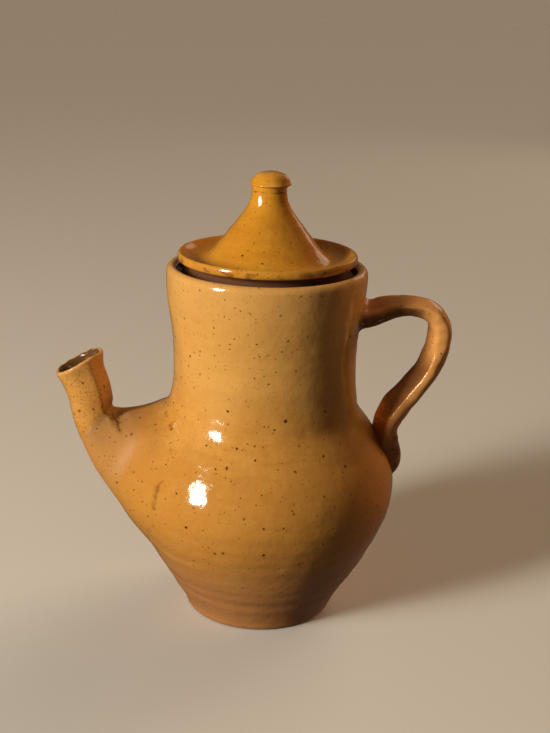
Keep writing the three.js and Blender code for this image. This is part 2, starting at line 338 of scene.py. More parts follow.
def clearance(p):
    """How far a point stands out from the wall, along the radius."""
    return radius_of(p) - plain_radius(p.z) - waver(turn_of(p), p.z)


def on_wall(turn, height, out=0):
    r = plain_radius(height) + waver(turn, height) + out
    return Vector((r * math.cos(turn), r * math.sin(turn), height))


def wall_normal(p):
    """The wall's facing beside a point, from its slope over 0.04 radians and 2 mm."""
    turn = turn_of(p)
    along = on_wall(turn + 0.02, p.z) - on_wall(turn - 0.02, p.z)
    up = on_wall(turn, p.z + 1) - on_wall(turn, p.z - 1)
    return along.cross(up).normalized()


def sunk(ring, depth):
    """The ring's points moved to a depth under the wall."""
    return [on_wall(turn_of(p), p.z, -depth) for p in ring]


# Ways of making a mesh; corners closer than the weld, in metres, are one
WELD = 0.000002
# edges up to this many degrees are shaded smooth
THROWN_EDGE = 50
LIMB_EDGE = 80


def nothing_selected():
    if bpy.context.object and bpy.context.object.mode != "OBJECT":
        bpy.ops.object.mode_set(mode="OBJECT")
    bpy.ops.object.select_all(action="DESELECT")


def finish_mesh(piece, name, smooth_angle):
    """Welds the poles, turns every face outwards and shades the piece."""
    bpy.ops.object.mode_set(mode="EDIT")
    bpy.ops.mesh.select_all(action="SELECT")
    bpy.ops.mesh.remove_doubles(threshold=WELD)
    bpy.ops.mesh.normals_make_consistent(inside=False)
    bpy.ops.object.mode_set(mode="OBJECT")
    bpy.ops.object.shade_smooth_by_angle(angle=math.radians(smooth_angle))
    piece.name = name
    piece.data.name = name
    return piece


def throw(name, profile, steps=192):
    """Draws a profile of (radius, height) from a plane's one corner and spins it on the wheel."""
    nothing_selected()
    bpy.ops.mesh.primitive_plane_add(size=0.001, location=(0, 0, 0))
    piece = bpy.context.object
    bpy.ops.object.mode_set(mode="EDIT")
    bpy.ops.mesh.select_all(action="SELECT")
    bpy.ops.mesh.merge(type="CENTER")
    start = profile[0]
    bpy.ops.transform.translate(value=(start[0] * MM, 0, start[1] * MM))
    for before, after in zip(profile, profile[1:]):
        step = ((after[0] - before[0]) * MM, 0, (after[1] - before[1]) * MM)
        bpy.ops.mesh.extrude_vertices_move(TRANSFORM_OT_translate={"value": step})
    bpy.ops.mesh.select_all(action="SELECT")
    bpy.ops.mesh.spin(steps=steps, angle=math.tau, center=(0, 0, 0), axis=(0, 0, 1))
    return finish_mesh(piece, name, THROWN_EDGE)


def reshape(piece, shift):
    """Moves every corner off the axis in or out, by what shift says for its turn, radius and height."""
    for corner in piece.data.vertices:
        p = corner.co / MM
        r = radius_of(p)
        if r > 0.01:
            out = shift(turn_of(p), r, p.z)
            corner.co.x *= 1 + out / r
            corner.co.y *= 1 + out / r
    piece.data.update()


def lay(corners, places):
    for corner, p in zip(corners, places):
        corner.co = p * MM


def extrude_ring(piece, columns, places):
    """Extrudes the selected ring onto its places; columns are the numbers of its corners, in order."""
    bpy.ops.mesh.extrude_edges_move()
    mesh = bmesh.from_edit_mesh(piece.data)
    mesh.verts.index_update()
    mesh.verts.ensure_lookup_table()
    grown = []
    for column in columns:
        ends = [edge.other_vert(mesh.verts[column]) for edge in mesh.verts[column].link_edges]
        grown.append(next(end for end in ends if end.select))
    lay(grown, places)
    return [corner.index for corner in grown]


def draw_rings(name, rings, closed):
    """Starts a circle and extrudes it ring by ring; the first and last ring are bridged or each shut."""
    nothing_selected()
    bpy.ops.mesh.primitive_circle_add(vertices=len(rings[0]), radius=0.01, fill_type="NOTHING")
    piece = bpy.context.object
    bpy.ops.object.mode_set(mode="EDIT")
    bpy.ops.mesh.select_all(action="SELECT")
    mesh = bmesh.from_edit_mesh(piece.data)
    columns = [corner.index for corner in mesh.verts]
    lay(mesh.verts, rings[0])
    for places in rings[1:]:
        columns = extrude_ring(piece, columns, places)
    if not closed:
        bpy.ops.mesh.edge_face_add()
    bpy.ops.mesh.select_all(action="DESELECT")
    mesh = bmesh.from_edit_mesh(piece.data)
    for edge in mesh.edges:
        if edge.is_boundary:
            edge.select_set(True)
    bmesh.update_edit_mesh(piece.data)
    if closed:
        bpy.ops.mesh.bridge_edge_loops()
    else:
        bpy.ops.mesh.edge_face_add()
    return finish_mesh(piece, name, LIMB_EDGE)


# Thrown body
def inner_radius(height):
    """Radius of the inside, a wall's thickness in from the outline."""
    lean = (plain_radius(height + 2) - plain_radius(height - 2)) / 4
    return plain_radius(height) - WALL * math.hypot(1, lean)


def body_profile():
    bottom = [(0, 0), (BOTTOM_RING, 0)]
    foot = [(FOOT_RADIUS - 1.5, 0), (FOOT_RADIUS - 0.8, 0.12), (FOOT_RADIUS - 0.2, 0.5)]
    heights = [1.2 + OUTSIDE_STEP * i for i in range(130)]
    outside = [(plain_radius(z), z) for z in heights if z < LIP_HEIGHT - 0.5]
    lip = arc(RIM_RADIUS - LIP_WIDTH / 2, LIP_HEIGHT, LIP_WIDTH / 2, LIP_ROUND, 0, 180, 18)
    r, z = LIP_INSIDE, LEDGE_HEIGHT
    ledge = [(r, z + 0.9)] + bow((r, z + 0.7), (r, z), (r - 0.7, z), 3)
    r = MOUTH_RADIUS
    ledge += bow((r + 0.9, z), (r, z), (r, z - 0.9), 4)
    z -= LEDGE_EDGE
    ledge += bow((r, z), (r, z - 1.4), (inner_radius(LEDGE_ROOT) - 0.6, LEDGE_ROOT + 0.2), 4)
    heights = [LEDGE_ROOT - 6 - INSIDE_STEP * i for i in range(60)]
    inside = [(inner_radius(z), z) for z in heights if z > FLOOR + 5.5]
    z = FLOOR
    floor = bow((inner_radius(z + 5), z + 5), (inner_radius(z + 0.5), z), (inner_radius(z) - 5.5, z), 6)
    return bottom + foot + outside + lip + ledge + inside + floor + [(BOTTOM_RING, z), (0, z)]


def body_shift(turn, r, z):
    if r > plain_radius(z) - WALL / 2:
        return waver(turn, z)
    return 0.5 * wobble(turn, z, 0.4, 4.6, 90) * band(z, (6, 12), (158, 166))


def bore_pour_hole(piece):
    nothing_selected()
    bpy.ops.mesh.primitive_cylinder_add(
        vertices=64,
        radius=POUR_HOLE_RADIUS * MM,
        depth=DRILL_LENGTH * MM,
        location=(-DRILL_MIDDLE * MM, 0, POUR_HOLE_HEIGHT * MM),
        rotation=(0, math.pi / 2, 0),
    )
    drill = bpy.context.object
    cut = piece.modifiers.new("pour_hole", "BOOLEAN")
    cut.operation = "DIFFERENCE"
    cut.solver = "EXACT"
    cut.object = drill
    nothing_selected()
    piece.select_set(True)
    bpy.context.view_layer.objects.active = piece
    bpy.ops.object.modifier_apply(modifier=cut.name)
    bpy.ops.object.shade_smooth_by_angle(angle=math.radians(THROWN_EDGE))
    bpy.data.objects.remove(drill)


pot = throw("thrown_body", body_profile())
reshape(pot, body_shift)
bore_pour_hole(pot)


# Limbs that grow out of the wall: point_at gives a point of the skin for a turn and a place on the run
MEET_STEPS = 160
HALVINGS = 24
BACK_STEPS = 300


def close_in(point_at, out, under):
    """Place where the run crosses the wall, between one place out of it and one under it."""
    for _ in range(HALVINGS):
        middle = (out + under) / 2
        if clearance(point_at(middle)) < 0:
            under = middle
        else:
            out = middle
    return (out + under) / 2


def meet_wall(point_at, outside, inside):
    """Place on a run where it comes to the wall; outside and inside are places on its two sides."""
    before = outside
    for i in range(1, MEET_STEPS + 1):
        place = mix(outside, inside, i / MEET_STEPS)
        if clearance(point_at(place)) < 0:
            return close_in(point_at, before, place)
        before = place
    return inside


def step_back(point_at, place, outside, length):
    """Place a given length further out along the run."""
    step = (outside - place) / BACK_STEPS
    last = point_at(place)
    while length > 0 and abs(outside - place) > abs(step):
        place += step
        here = point_at(place)
        length -= (here - last).length
        last = here
    return place


def evened(values, passes):
    """Values round a ring, each drawn towards its neighbours."""
    for _ in range(passes):
        values = [(values[i - 1] + 2 * v + values[(i + 1) % len(values)]) / 4 for i, v in enumerate(values)]
    return values


def fillet_corners(contact, around, middle, a, ahead, size):
    """Corners of the curve that leads from the limb's skin at a, over the contact point, onto the wall."""
    away = around.cross(wall_normal(contact)).normalized()
    if away.dot(contact - middle) < 0:
        away = -away
    b = contact + away * size
    b = on_wall(turn_of(b), b.z, -0.12)
    facing = wall_normal(b)
    back = (contact - b) - facing * (contact - b).dot(facing)
    run = size * 0.62
    return [a, a + ahead * run, b + back.normalized() * run, b]


def rooted(point_at, turns, outside, inside, sizes, steps):
    """Runs a limb softly onto the wall: the places where its own skin ends, and the fillet's rings."""
    runs = [partial(point_at, turn) for turn in turns]
    meets = [meet_wall(run, outside, inside) for run in runs]
    contact = [run(place) for run, place in zip(runs, meets)]
    starts = [step_back(run, place, outside, size) for run, place, size in zip(runs, meets, sizes)]
    starts = evened(starts, 6)
    middle = sum(contact, Vector()) / len(turns)
    arcs = []
    for i, run in enumerate(runs):
        around = (contact[(i + 2) % len(turns)] - contact[i - 2]).normalized()
        a = run(starts[i])
        ahead = (a - run(starts[i] + (outside - starts[i]) * 0.01)).normalized()
        corners = fillet_corners(contact[i], around, middle, a, ahead, sizes[i])
        arcs.append([Vector(p) for p in curve(corners, steps)])
    return starts, [[points[k] for points in arcs] for k in range(1, steps + 1)]


# Spout
def fold(p):
    """How deep the fold is pressed in at a point."""
    deepest = 0
    for start, end in zip(FOLD, FOLD[1:]):
        a, b = Vector(start[:3]), Vector(end[:3])
        share = min(max((p - a).dot(b - a) / (b - a).length_squared, 0), 1)
        off = p - a.lerp(b, share)
        # a steep side to the tube, a long slope to the horn's top
        away = off.length / mix(FOLD_WIDTH, FOLD_REACH, smooth(off.x, 0, 2))
        deepest = max(deepest, mix(start[3], end[3], share) * max(1 - away, 0) ** 1.3)
    return deepest


def spout_fullness(turn, place, pressing):
    """How much larger than its ellipse the section is, towards a turn."""
    degrees = math.degrees(turn)
    side = abs((degrees + 180) % 360 - 180)
    # the tube is pinched: a lengthwise ridge on its right, with a flat beside it, that turns in lower down
    up_tube = smooth(place, 5.6, 8.2)
    on_tube = smooth(place, 4.6, 5.8) * (1 - 0.65 * smooth(place, 10.2, 11))
    ridge = mix(325, 309, up_tube)
    proud = 1 + mix(0.16, 0.07, up_tube) * on_tube * hump(degrees, ridge, 15)
    flat = mix(0.95, 0.9, up_tube) / max(math.cos(math.radians(degrees - ridge - 33)), 0.3)
    press = 0.5 * (proud - flat + math.hypot(proud - flat, 0.035)) * on_tube * pressing
    # full flanks low on the horn, a broad top, and an ear on the inner side of the mouth
    flank = 0.1 * hump(side, 132, 30) * (1 - smooth(place, 4.6, 6.6))
    broad = 0.08 * hump(side, 48, 20) * band(place, (1.5, 3), (4.6, 6))
    ear = 0.13 * hump(side, 0, 32) * smooth(place, 10, 11)
    return proud - press + flank + broad + ear


def spout_point(turn, place, thinning=0):
    """Point of the skin, or with a thinning of the bore that lies so far under it."""
    out, rise, half_height, half_width, lean = row_at(SPOUT_STATIONS, place)
    lean = math.radians(lean)
    near_mouth = smooth(place, 10, 11)
    fullness = spout_fullness(turn, place, 0.3 if thinning else 1)
    bump = 0.3 * wobble(turn, 0.9 * place, 1.6, 1, 11)
    lip = wobble(turn, 0, 2.6, 1, 77) * near_mouth
    swell = 0.5 * bump + 0.6 * lip if thinning else bump + 0.4 * lip
    across = ((half_height - thinning) * fullness + swell) * math.cos(turn)
    aside = ((half_width - thinning) * fullness + swell) * math.sin(turn)
    # the mouth's edge is uneven and dips on its inner side
    side = abs((math.degrees(turn) + 180) % 360 - 180)
    lift = 0.8 * lip - 1.8 * hump(side, 0, 22) * near_mouth
    reach = BELLY_RADIUS + out + lift * math.sin(lean)
    middle = Vector((-reach, 0, BELLY_HEIGHT + rise + lift * math.cos(lean)))
    p = middle + Vector((across * math.cos(lean), aside, across * math.sin(lean)))
    if not thinning and 3 < place < 9:
        p += (middle - p).normalized() * fold(p)
    return p


def bore_point(turn, place):
    return spout_point(turn, place, 2.7 + 1.3 * (1 - smooth(place, 8.5, 11)))


def spout_lip(turns, edge):
    """Rings of the thin rounded lip, from the bore's end over to the skin's first ring."""
    rings = []
    for k in range(1, SPOUT_LIP_STEPS):
        angle = math.pi * k / SPOUT_LIP_STEPS
        ring = []
        for turn, outer in zip(turns, edge):
            ahead = (outer - spout_point(turn, SPOUT_LAST - 0.05)).normalized()
            inner = bore_point(turn, SPOUT_LAST)
            middle, half = (inner + outer) / 2, (inner - outer) / 2
            ring.append(middle + half * math.cos(angle) + ahead * (half.length * math.sin(angle)))
        rings.append(ring)
    return rings


def make_spout():
    """Draws the skin down to the wall, the fillet, the bore back up and the lip; also gives its join."""
    turns = [math.tau * i / SPOUT_SIDES for i in range(SPOUT_SIDES)]
    # the fillet is widest below the horn and tightest above it
    sizes = [mix(6.5, 14, (1 - math.cos(turn)) / 2) for turn in turns]
    starts, fillet = rooted(spout_point, turns, SPOUT_LAST, 0, sizes, 9)
    skin = []
    for k in range(SPOUT_SKIN_RINGS + 1):
        share = k / SPOUT_SKIN_RINGS
        skin.append([spout_point(turn, mix(SPOUT_LAST, start, share)) for turn, start in zip(turns, starts)])
    root = sunk([last.lerp(third, 0.35) for last, third in zip(fillet[-1], fillet[-3])], ROOT_DEPTH)
    ends = evened([meet_wall(partial(bore_point, turn), SPOUT_LAST, 0) for turn in turns], 4)
    bore_root = sunk([bore_point(turn, end) for turn, end in zip(turns, ends)], ROOT_DEPTH)
    bore = []
    for k in range(SPOUT_BORE_RINGS + 1):
        share = k / SPOUT_BORE_RINGS
        bore.append([bore_point(turn, mix(end, SPOUT_LAST, share)) for turn, end in zip(turns, ends)])
    rings = [*skin, *fillet, root, bore_root, *bore, *spout_lip(turns, skin[0])]
    return draw_rings("spout_horn", rings, closed=True), fillet[4]


spout, spout_join = make_spout()


# Handle
def handle_line():
    """The strap's middle as fine rows, evened so that it bends in one sweep."""
    rows = []
    for i in range(HANDLE_LAST * HANDLE_FINE + 1):
        share, out, thickness, width, pared = row_at(HANDLE_STATIONS, i / HANDLE_FINE)
        z = mix(HANDLE_FOOT, HANDLE_TOP, share)
        rows.append((plain_radius(z) + out, z, thickness, width, pared))
    for _ in range(HANDLE_PASSES):
        trios = zip(rows, rows[1:], rows[2:])
        inner = [tuple((a + 2 * b + c) / 4 for a, b, c in zip(*trio)) for trio in trios]
        rows = [rows[0], *inner, rows[-1]]
    return rows


handle_rows = handle_line()


def handle_middle(place):
    place = min(max(place, 0), HANDLE_LAST) * HANDLE_FINE
    i = min(int(place), len(handle_rows) - 2)
    return [mix(a, b, place - i) for a, b in zip(handle_rows[i], handle_rows[i + 1])]


def handle_point(turn, place):
    """Point of the strap, which has four soft edges and one face pared down."""
    x, z, thickness, width, pared = handle_middle(place)
    before, after = handle_middle(place - 0.3), handle_middle(place + 0.3)
    along = Vector((after[0] - before[0], 0, after[1] - before[1])).normalized()
    c, s = math.cos(turn), math.sin(turn)
    inward = math.copysign(abs(c) ** 0.8, c)
    aside = math.copysign(abs(s) ** 0.8, s)
    if c * pared > 0:
        inward *= 1 - abs(pared) * smooth(-aside, -1, 1)
    knead = 0.5 * wobble(turn, 0.8 * place, 1.4, 1, 5)
    press = 1 + 0.05 * wobble(turn, 2.1 * place, 1, 1, 40)
    inward = inward * thickness / 2 * press + knead * c
    aside = aside * width / 2 * press + knead * s
    return Vector((x + along.z * inward, aside, z - along.x * inward))


def make_handle():
    """Draws the strap from its root under the lip to its tail pressed onto the belly; also gives its join."""
    turns = [math.tau * i / HANDLE_SIDES for i in range(HANDLE_SIDES)]
    sizes = [3.6 - 0.8 * math.cos(turn) for turn in turns]
    starts, fillet = rooted(handle_point, turns, HANDLE_ROOT_END, 0, sizes, 7)
    middle = sum(fillet[-1], Vector()) / len(turns)
    rings = [sunk([p.lerp(middle, 0.35) for p in fillet[-1]], ROOT_DEPTH)]
    rings += reversed(fillet)
    for k in range(HANDLE_RINGS + 1):
        ring = []
        for turn, start in zip(turns, starts):
            p = handle_point(turn, mix(start, HANDLE_LAST, k / HANDLE_RINGS))
            if clearance(p) < -ROOT_DEPTH:
                p = on_wall(turn_of(p), p.z, -ROOT_DEPTH)
            ring.append(p)
        rings.append(ring)
    return draw_rings("strap_handle", rings, closed=False), fillet[-1]


strap, strap_join = make_handle()


# Lid
def lid_profile():
    cone = [(CONE_FOOT[0] + CONE_RUN[0] * share, CONE_FOOT[1] + CONE_RUN[1] * share) for share in CONE_SHARES]
    hollow = (
        bow((0, HOLLOW_TOP), (5.5, HOLLOW_TOP), (10.1, HOLLOW_TOP - 3), 6)
        + [(10.2, 200.6)]
        + [(mix(10.4, 16.5, i / 6), mix(200.3, 192.6, i / 6)) for i in range(1, 7)]
        + bow((16.7, 192.3), (22.5, 185), (23, 178.6), 6)
        + bow((24.5, 178.4), (SKIRT_INNER, 178.4), (SKIRT_INNER, 176.8), 5)
    )
    half = (SKIRT_RADIUS - SKIRT_INNER) / 2
    skirt = (
        [(SKIRT_INNER, 171), (SKIRT_INNER, SKIRT_EDGE)]
        + arc(SKIRT_INNER + half, SKIRT_EDGE, half, 1.2, 180, 360, 8)[1:]
        + [(SKIRT_RADIUS, 170), (SKIRT_RADIUS, SEAT_HEIGHT - 0.4)]
    )
    seat = [
        (SKIRT_RADIUS + 0.3, SEAT_HEIGHT),
        (SEAT_RADIUS - 0.4, SEAT_HEIGHT),
        (SEAT_RADIUS, SEAT_HEIGHT + 0.3),
        (SEAT_RADIUS, SEAT_HEIGHT + 1.1),
        (SEAT_RADIUS - 0.4, SEAT_HEIGHT + 1.5),
    ]
    collar = [
        (COLLAR_RADIUS + 0.5, 177.1),
        (COLLAR_RADIUS, 177.8),
        (COLLAR_RADIUS, FLANGE_BOTTOM - 1.1),
        (COLLAR_RADIUS + 0.6, FLANGE_BOTTOM - 0.3),
        (COLLAR_RADIUS + 3.3, FLANGE_BOTTOM),
    ]
    flange = arc(FLANGE_RADIUS, FLANGE_HEIGHT, 1.45, 2.2, -100, 78, 14)
    dish = (
        curve([(42.5, 186.85), (40.6, 186.6), (39, 182.9), (33.5, 183.2)], 12)[1:]
        + bow((32.8, 183.25), (28.6, 183.9), cone[0], 8)[1:]
    )
    neck = bow(cone[-1], (CONE_TOP_RADIUS, CONE_TOP), (CONE_TOP_RADIUS, LID_TOP), 8)
    top = [(4, LID_TOP), (0, LID_TOP)]
    return hollow + skirt + seat + collar + flange + dish + cone[1:-1] + neck + top


def lid_shift(turn, r, z):
    if r <= 8:
        return 0
    edge = 0.5 * wobble(turn, 0, 1.6, 1, 5) * smooth(r, FLANGE_RADIUS - 1.9, FLANGE_RADIUS + 0.1)
    edge *= smooth(z, FLANGE_BOTTOM - 0.4, FLANGE_BOTTOM + 1.6)
    rings = 0.26 * wobble(turn, z, 0.5, 1.7, 20) * smooth(z, 186, 190)
    lumps = 0.5 * wobble(turn, z, 1.1, 14, 60) * smooth(z, 184, 192)
    return edge + rings + lumps


def cap_profile():
    bottom = [(0, CAP_BOTTOM), (4, CAP_BOTTOM), (CAP_NECK - 0.2, CAP_BOTTOM)]
    neck = [(CAP_NECK - 0.12, CAP_BOTTOM + 1), (CAP_NECK - 0.05, CAP_BOTTOM + 2)]
    edge = (
        bow((CAP_NECK, 218.6), (CAP_NECK + 0.2, 219), (CAP_NECK + 1, 219.15), 4)
        + bow((9.65, 219.3), (9.85, 219.6), (9.45, 220.1), 4)
    )
    dome = bow((9.2, 220.5), (8.2, 224.6), (3.2, CAP_TOP - 0.15), 14) + [(1.6, CAP_TOP - 0.03), (0, CAP_TOP)]
    return bottom + neck + edge + dome


def cap_shift(turn, r, z):
    """A lump of clay on the spout's side, and a wavering edge."""
    lump = 0.5 * hump(abs(turn), math.pi, 0.22) * hump(z, 220.6, 1.5)
    return lump + 0.45 * wobble(turn, z, 1.5, 5, 0) * smooth(z, 217.5, 220)


lid = throw("thrown_lid", lid_profile())
reshape(lid, lid_shift)
knob = throw("lid_cap", cap_profile(), steps=96)
reshape(knob, cap_shift)
for corner in knob.data.vertices:
    corner.co.x += CAP_ASKEW * MM * smooth(corner.co.z / MM, 217.5, 220)


# Where the fingers go, in the handle's loop
FINGERS = Vector((72, 0, 128))


# Readings at every corner, which the glazes follow; each takes a point in millimetres and its facing
def mark(piece, kind, reading):
    marks = piece.data.attributes.new(kind, "FLOAT", "POINT")
    for corner, value in zip(piece.data.vertices, marks.data):
        value.value = reading(corner.co / MM, corner.normal)


def tree_of(points):
    tree = kdtree.KDTree(len(points))
    for i, p in enumerate(points):
        tree.insert(p, i)
    tree.balance()
    return tree


def spout_middle(place):
    out, rise = row_at(SPOUT_STATIONS, place)[:2]
    return Vector((-(BELLY_RADIUS + out), 0, BELLY_HEIGHT + rise))


join_tree = tree_of(spout_join + strap_join)
flow_places = [SPOUT_LAST * i / 200 for i in range(201)]
flow_tree = tree_of([spout_middle(place) for place in flow_places])


def off_wall(p, facing):
    return max(0, clearance(p))


def near_join(p, facing):
    """A little glaze collected along the joins of spout and handle."""
    return 0.27 * hump(join_tree.find(p)[2], 0, 2.8)


def spout_joins_and_fold_shade(p, facing):
    # glaze collected along the joins, and painted shade down the fold
    return max(near_join(p, facing), 0.2 * fold(p))


# Painted shade inside the bore: the faces turned towards the flow line
def spout_bore_painted_shade(p, facing):
    middle = flow_tree.find(p)[0]
    return smooth(-facing.dot((p - middle).normalized()), -0.1, 0.4)


def spout_worn(p, facing):
    return smooth(flow_places[flow_tree.find(p)[1]], SPOUT_LAST - 0.4, SPOUT_LAST - 0.1)


def strap_painted_shade(p, facing):
    """Painted shade: the side turned to the fingers, up to the strap's front ridge, where the neck's shadow
    falls; the top run's underside; and the tail low down.
    """
    towards = (FINGERS - p).normalized()
    # each term is painted shade: the neck's shadow on the side turned to the fingers, the top run's
    # underside, the tail
    lower = smooth(facing.dot(towards), -0.08, 0.12) * (1 - smooth(p.z, 128, 146))
    under = smooth(-facing.z, -0.22, 0.22) * smooth(p.z, 142, 148) * (1 - smooth(p.x, 70, 84))
    tail = 0.55 * (1 - smooth(p.z, 84, 110))
    return 0.88 * max(lower, under, tail)


def pot_inner(p, facing):
    inside = band(p.z, (FLOOR - 4, FLOOR - 1), (LEDGE_HEIGHT - 1, LEDGE_HEIGHT + 1))
    return inside * smooth(plain_radius(p.z) - radius_of(p), 2, 3.2)


def pot_joins_and_painted_shade(p, facing):
    """The joins, and painted shade in the corner between lip and ledge, in the gap under the lid."""
    # painted shade in the gap under the lid
    corner = band(p.z, (LEDGE_HEIGHT - 3, LEDGE_HEIGHT - 0.5), (LIP_HEIGHT + 0.8, LIP_HEIGHT + 2.8))
    corner *= 1 - smooth(radius_of(p), LIP_INSIDE + 0.2, LIP_INSIDE + 1.2)
    return max(near_join(p, facing), corner)


def pot_worn(p, facing):
    """The lip, and a pinker band below it."""
    lip = 0.6 * smooth(p.z, LIP_HEIGHT + 0.8, LIP_HEIGHT + 2.6)
    below = 0.4 * smooth(p.z, LIP_HEIGHT - 20.7, LIP_HEIGHT - 2.7)
    return max(lip, below) * smooth(radius_of(p), LIP_INSIDE + 1, LIP_INSIDE + 2.1)


def lid_inner(p, facing):
    below = 1 - smooth(p.z, FLANGE_BOTTOM - 0.4, FLANGE_BOTTOM)
    hollow = smooth(-facing.z, 0.1, 0.4) * (1 - smooth(radius_of(p), SKIRT_INNER - 1.7, SKIRT_INNER + 1.3))
    return max(below, hollow)


def lid_painted_shade_and_edge(p, facing):
    """Painted shade on the collar under the flange and in the groove under the cap, and dark flecks on the
    flange's edge.
    """
    r = radius_of(p)
    # painted shade on the collar, in the gap under the flange
    under = band(p.z, (SEAT_HEIGHT - 1.8, SEAT_HEIGHT - 0.5), (FLANGE_BOTTOM - 0.1, FLANGE_BOTTOM + 0.5))
    under *= smooth(r, COLLAR_RADIUS - 1.4, COLLAR_RADIUS - 0.4)
    edge = band(p.z, (FLANGE_BOTTOM - 0.4, FLANGE_BOTTOM + 0.2), (FLANGE_HEIGHT + 0.3, FLANGE_HEIGHT + 1.9))
    edge *= 0.3 * smooth(r, FLANGE_RADIUS - 0.9, FLANGE_RADIUS + 0.6)
    # the last term is painted shade in the groove under the cap
    return max(under, edge, 0.5 * smooth(p.z, LID_TOP - 1.5, LID_TOP - 0.1))


def lid_worn(p, facing):
    edge = smooth(radius_of(p), FLANGE_RADIUS - 0.2, FLANGE_RADIUS + 0.8)
    return 0.25 * edge * smooth(p.z, FLANGE_BOTTOM + 0.1, FLANGE_BOTTOM + 1.1)


def cap_worn(p, facing):
    edge = 0.6 * smooth(radius_of(p), CAP_NECK + 0.5, CAP_NECK + 1.1)
    return max(edge, 0.5 * smooth(p.z, CAP_TOP - 3, CAP_TOP - 0.5))


for piece, kind, reading in (
    (spout, "from_wall", off_wall),
    (strap, "from_wall", off_wall),
    (pot, "pool_and_shade_mark", pot_joins_and_painted_shade),
    (spout, "pool_and_shade_mark", spout_joins_and_fold_shade),
    (strap, "pool_and_shade_mark", near_join),
    (lid, "pool_and_shade_mark", lid_painted_shade_and_edge),
    (pot, "inner", pot_inner),
    (spout, "inner", spout_bore_painted_shade),
    (strap, "inner", strap_painted_shade),
    (lid, "inner", lid_inner),
    (pot, "worn", pot_worn),
    (spout, "worn", spout_worn),
    (lid, "worn", lid_worn),
    (knob, "worn", cap_worn),
):
    mark(piece, kind, reading)


# Glazes, each with its tones
HONEY = {
    "light": (0.61, 0.29, 0.055, 1),
    "deep": (0.47, 0.195, 0.03, 1),
    "warm": (0.56, 0.225, 0.058, 1),
    "pale": (0.66, 0.35, 0.09, 1),
}
STRAP = {
    "light": (0.78, 0.35, 0.1, 1),
    "deep": (0.62, 0.25, 0.055, 1),
    "warm": (0.74, 0.29, 0.09, 1),
    "pale": (0.82, 0.43, 0.14, 1),
}
OCHRE = {
    "light": (0.62, 0.265, 0.018, 1),
    "deep": (0.41, 0.148, 0.009, 1),
    "warm": (0.54, 0.2, 0.014, 1),
    "pale": (0.65, 0.32, 0.035, 1),
}
STRAP_BROWN = (0.34, 0.11, 0.026, 1)
THIN_OVER_CLAY = (0.43, 0.175, 0.062, 1)
BARE_CLAY = (0.3, 0.135, 0.062, 1)
WORN_LIP = (0.62, 0.33, 0.12, 1)
# dark tone of glaze collected in the joins, and painted shade in the gap under the lid, under the cap and
# down the spout's fold
POOLED_AND_PAINTED_SHADE = (0.1, 0.028, 0.004, 1)
# dark tone on the inner marks: darker inside the pot, painted shade in the spout's bore and on the handle
DARK_INSIDE_AND_PAINTED_SHADE = (0.07, 0.024, 0.009, 1)
HORN_SHADE = (0.25, 0.118, 0.027, 1)
HORN_MOTTLE = (0.2, 0.07, 0.014, 1)
IRON = (0.008, 0.003, 0.0015, 1)
RUST = (0.17, 0.048, 0.009, 1)

# Clouds laid over the light tone, from the widest to the fine grain over the clay: tone, size in
# millimetres, the noise levels between which it comes in, its share, and the noise's detail, roughness
# and shift
CLOUDS = [
    ("deep", 34, 0.35, 0.7, 0.7, 3, 0.5, 0),
    ("warm", 21, 0.5, 0.72, 0.6, 3, 0.6, 2),
    ("pale", 13, 0.52, 0.75, 0.5, 4, 0.6, 5),
    ("deep", 5, 0.42, 0.72, 0.4, 3, 0.65, 9),
    ("deep", 1.6, 0.38, 0.75, 0.3, 3, 0.7, 8),
    ("pale", 0.9, 0.5, 0.72, 0.3, 2, 0.6, 15),
]

# Iron specks in sizes: spacing and largest size in millimetres, share of cells that hold one, width of
# the rusty halo, shift of the pattern, darkness
SPECKS = [
    (9.5, 2.1, 0.36, 0.7, 0.13, 1),
    (4.6, 1.3, 0.6, 0.9, 0.31, 0.95),
    (2.4, 0.8, 0.6, 0.8, 0.57, 0.85),
    (1.5, 0.6, 0.55, 0.6, 0.83, 0.4),
]
# how far a speck's outline is drawn out of round, in metres
SPECK_WARP = 0.0011


def node(tree, kind, inputs=None, **settings):
    """Adds a node; an input is a socket to link or a value to set."""
    made = tree.nodes.new(kind)
    for name, value in settings.items():
        setattr(made, name, value)
    for socket, value in (inputs or {}).items():
        if isinstance(value, bpy.types.NodeSocket):
            tree.links.new(value, made.inputs[socket])
        else:
            made.inputs[socket].default_value = value
    return made


